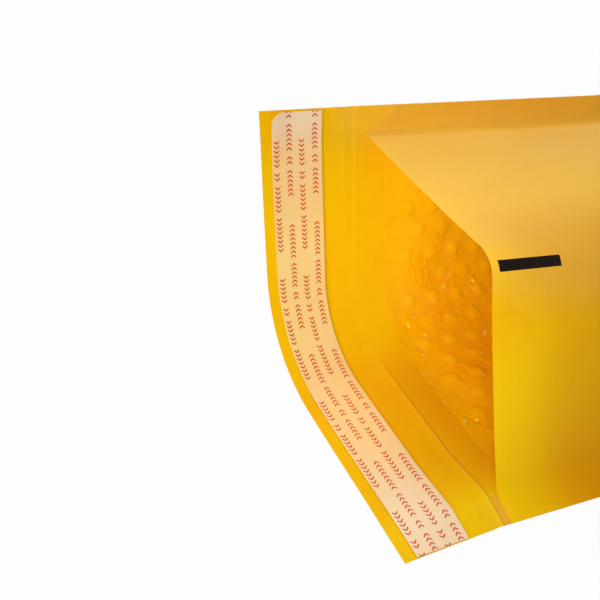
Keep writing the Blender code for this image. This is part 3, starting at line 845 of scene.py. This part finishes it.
# the flap's glue strip and release liner
# corner is the radius of the upper end's outer corner, which stands lift above the flap
strips = {
    "glueStrip": {
        "start": 0.0055, "width": 0.0160, "lowMargin": 0.003, "margin": 0.003, "depth": 0.00055,
        "wall": 0.00025, "corner": 0.0, "lift": 0.0, "slant": 0.0,
    },
    "releaseLiner": {
        "start": 0.0036, "width": 0.0197, "lowMargin": 0.00005, "margin": 0.0006, "depth": 0.00095,
        "wall": 0.0002, "corner": 0.0046, "lift": 0.0012, "slant": 0.0008,
    },
}
cornerRun = 0.020
liftRun = 0.022
stripSteps = np.array([0.0, 0.01, 0.03, 0.06, 0.1, 0.15, 0.2, 0.3, 0.4, 0.5, 0.6, 0.7, 0.8, 0.9, 1.0])


def flapStrip(name):
    strip = strips[name]
    corner = strip["corner"]
    end = pack["width"] - strip["margin"]
    across = acrossPlaces()
    between = across[(across > strip["lowMargin"] + 0.0005) & (across < end - 0.0005)]
    across = np.array([strip["lowMargin"], *between, end])
    along = strip["start"] - pack["flap"] + strip["width"] * stripSteps
    x, q = np.broadcast_arrays(along[:, None], across[None, :])
    inward = x - along[0]
    x = x + strip["slant"] * (1.0 - q / pack["width"])
    if corner > 0.0:
        cut = corner - np.sqrt(corner ** 2 - np.clip(corner - inward, 0.0, corner) ** 2)
        q = q - cut * smooth((q - pack["width"] + cornerRun) / (cornerRun - strip["margin"]))
    raised = strip["lift"] * smooth((q - pack["width"] + liftRun) / liftRun) * (1.0 - smooth(inward / 0.009))
    outer = backPoints(x, q, strip["depth"] + raised)
    inner = backPoints(x, q, strip["depth"] + raised + strip["wall"])
    place = np.stack([pack["width"] - q, inward], axis=-1)
    return sheetMesh(name, outer, inner, place, {})


glue = newPiece("glueStrip", flapStrip("glueStrip"), hotMeltGlue())
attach(glue, "root")
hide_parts("adhesive_strip")
liner = newPiece("releaseLiner", flapStrip("releaseLiner"), releasePaper())
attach(liner, "root")
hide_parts("release_liner")
print("flap strips made")

# floor, world and lamps
studio = {
    "floorColour": (0.86, 0.86, 0.86), "floorGlow": 0.94, "floorReach": 6, "floorDrop": 0.0002,
    "worldStrength": 0.33,
}
lamps = [  # name, place, what it faces, width, power, cone in degrees or 0 for a soft box
    ("above", (-0.05, 0.50, 1.00), (-0.12, -0.01, 0.04), 0.50, 3.8, 0.0),
    ("nearCamera", (-0.40, -0.32, 0.26), (-0.12, -0.01, 0.04), 0.15, 0.66, 0.0),
    ("behind", (0.20, 0.62, 0.16), (0.02, 0.06, 0.04), 0.30, 0.9, 0.0),
    ("spotLeft", (-0.70, -0.20, 0.35), (-0.135, 0.0, 0.03), 0.06, 5.6, 24.0),
    ("spotMouth", (-0.62, -0.10, 0.30), (-0.10, 0.0, 0.02), 0.06, 3.0, 13.0),
    ("spotDeep", (-0.50, -0.24, 0.26), (-0.09, 0.02, 0.04), 0.06, 3.1, 14.0),
]


def floorMaterial():
    s = Shading("white floor")
    s.set(baseColor=studio["floorColour"], roughness=0.9, specularIORLevel=0.0)
    rays = s.node("ShaderNodeLightPath", output="Is Camera Ray")
    glossy = Value(s, rays.socket.node.outputs["Is Glossy Ray"])
    through = Value(s, rays.socket.node.outputs["Is Transmission Ray"])
    seen = (rays + glossy + through).maths("MINIMUM", 1.0)
    glow = s.node("ShaderNodeEmission", None, {"Color": (1.0, 1.0, 1.0), "Strength": 1.0})
    surface = Value(s, s.shader.outputs["BSDF"])
    mixed = s.node("ShaderNodeMixShader", None, {0: seen * studio["floorGlow"], 1: surface, 2: glow})
    s.tree.links.new(mixed.socket, s.tree.nodes["Material Output"].inputs["Surface"])
    return s.material


floorMesh = bpy.data.meshes.new("floor")
floorMesh.from_pydata([(x * studio["floorReach"], y * studio["floorReach"], -studio["floorDrop"])
                       for x, y in ((-1, -1), (1, -1), (1, 1), (-1, 1))], [], [(0, 1, 2, 3)])
floor = newPiece("floor", floorMesh, floorMaterial())

world = bpy.data.worlds.new("studio")
bpy.context.scene.world = world
world.use_nodes = True
links, nodes = world.node_tree.links, world.node_tree.nodes
background = nodes["Background"]
background.inputs["Color"].default_value = (1.0, 1.0, 1.0, 1.0)
path = nodes.new("ShaderNodeLightPath")
either = nodes.new("ShaderNodeMath")
either.operation = "MAXIMUM"
links.new(path.outputs["Is Camera Ray"], either.inputs[0])
links.new(path.outputs["Is Glossy Ray"], either.inputs[1])
strength = nodes.new("ShaderNodeMapRange")
strength.inputs["To Min"].default_value = studio["worldStrength"]
strength.inputs["To Max"].default_value = 1.0
links.new(either.outputs[0], strength.inputs["Value"])
links.new(strength.outputs["Result"], background.inputs["Strength"])

for name, place, target, size, power, cone in lamps:
    data = bpy.data.lights.new(name, "SPOT" if cone else "AREA")
    if cone:
        data.spot_size = math.radians(cone)
        data.spot_blend = 1.0
        data.shadow_soft_size = size / 2.0
    else:
        data.shape = "DISK"
        data.size = size
    data.energy = power
    made = bpy.data.objects.new(name, data)
    made.location = place
    made.rotation_euler = (Vector(target) - Vector(place)).to_track_quat("-Z", "Y").to_euler()
    bpy.context.scene.collection.objects.link(made)
print("stage and lamps set")
